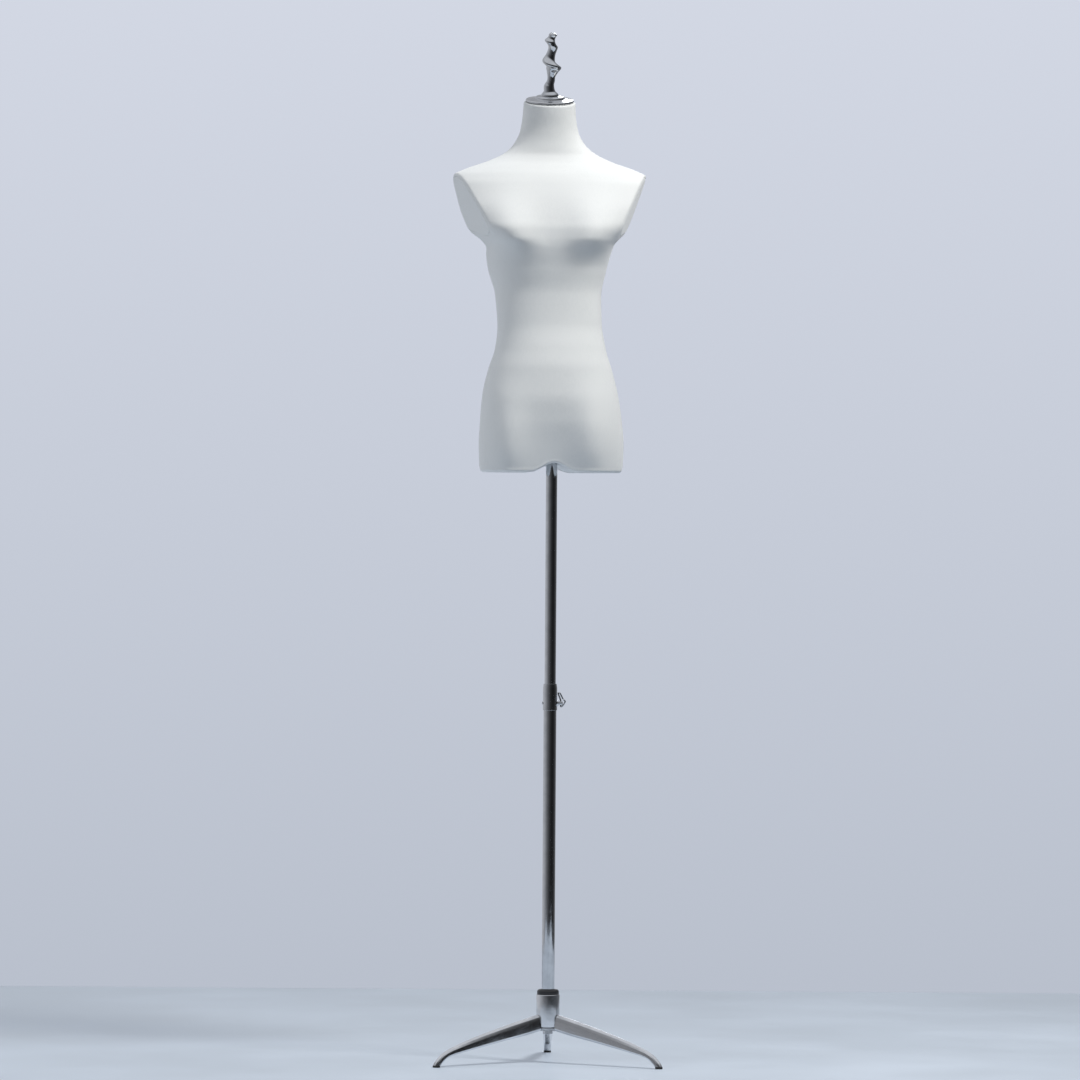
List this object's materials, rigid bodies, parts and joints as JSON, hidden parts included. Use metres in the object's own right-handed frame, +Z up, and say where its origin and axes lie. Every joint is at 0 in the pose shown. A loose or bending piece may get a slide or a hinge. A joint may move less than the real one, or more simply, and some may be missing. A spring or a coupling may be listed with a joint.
{
  "type": "dress form mannequin",
  "caption": "Armless fabric-covered female dress form on a telescopic chrome pole with a three-legged base, a screw clamp for its height and a twisted neck finial.",
  "frame": {"origin": "on the floor under the middle of the form's bounding box; the pole's axis is 61 mm in front of it, at x 0, y -0.061", "axes": "+Z up along the pole, -Y towards the form's front, +X towards the form's left side"},
  "size_m": [0.4438, 0.3863, 2.007],
  "materials": {
    "chrome": "mirror-bright chrome plating on steel",
    "polished_casting": "polished and plated casting",
    "plated_steel": "zinc-plated steel",
    "black_plastic": "moulded black plastic",
    "rubber": "moulded rubber",
    "nylon": "turned white nylon",
    "brass": "turned brass",
    "moulded_shell": "moulded plastic shell",
    "wood": "plain plywood",
    "cover_fabric": "stretched off-white jersey"
  },
  "bodies": {
    "stand": {"leg_front_left": "polished_casting", "leg_front_right": "polished_casting", "leg_rear": "polished_casting", "foot_pad_front_left": "rubber", "foot_pad_front_right": "rubber", "foot_pad_rear": "rubber", "leg_screw_front_left": "plated_steel", "leg_screw_front_right": "plated_steel", "leg_screw_rear": "plated_steel", "hub": "polished_casting", "hub_trim_ring": "black_plastic", "base_plate": "plated_steel", "base_spring_washer": "plated_steel", "base_bolt": "plated_steel", "lower_pole": "chrome", "lower_pole_plug": "plated_steel", "clamp_collar": "chrome", "collar_rivet": "plated_steel", "collar_bushing": "nylon"},
    "upper_pole": {"upper_pole": "chrome", "upper_pole_guide": "nylon", "upper_pole_cap": "nylon"},
    "torso": {"torso_shell": "moulded_shell", "fabric_cover": "cover_fabric", "armhole_plate_left": "cover_fabric", "armhole_plate_right": "cover_fabric", "thigh_plate_left": "cover_fabric", "thigh_plate_right": "cover_fabric", "bottom_board": "wood", "pole_socket": "plated_steel", "socket_screw_1": "plated_steel", "socket_screw_2": "plated_steel", "socket_screw_3": "plated_steel", "socket_screw_4": "plated_steel", "neck_block": "wood", "neck_cap": "chrome", "finial": "chrome", "finial_stud": "plated_steel", "finial_washer": "plated_steel", "finial_nut": "plated_steel"},
    "pressure_pad": {"pressure_pad": "brass"},
    "clamp_screw": {"clamp_screw": "chrome"},
    "wire_loop": {"wire_loop": "chrome"}
  },
  "joints": [
    {"name": "height_slide", "type": "slide", "parent": "stand", "child": "upper_pole", "axis": [0, 0, 1], "range_m": [-0.4, 0.1]},
    {"name": "torso_swivel", "type": "hinge", "parent": "upper_pole", "child": "torso", "pos_m": [0, -0.061, 1.36], "axis": [0, 0, 1], "continuous": true},
    {"name": "pad_slide", "type": "slide", "parent": "stand", "child": "pressure_pad", "axis": [1, 0, 0], "range_m": [0, 0.0015]},
    {"name": "screw_turn", "type": "hinge", "parent": "pressure_pad", "child": "clamp_screw", "pos_m": [0.0175, -0.061, 0.702], "axis": [1, 0, 0], "range_deg": [0, 540]},
    {"name": "loop_swing", "type": "hinge", "parent": "clamp_screw", "child": "wire_loop", "pos_m": [0.0208, -0.061, 0.702], "axis": [0, 0, 1], "range_deg": [-110, 110]}
  ],
  "couplings": [
    {"joint": "pad_slide", "follows": "screw_turn", "m_per_rad": 0.00015915}
  ]
}
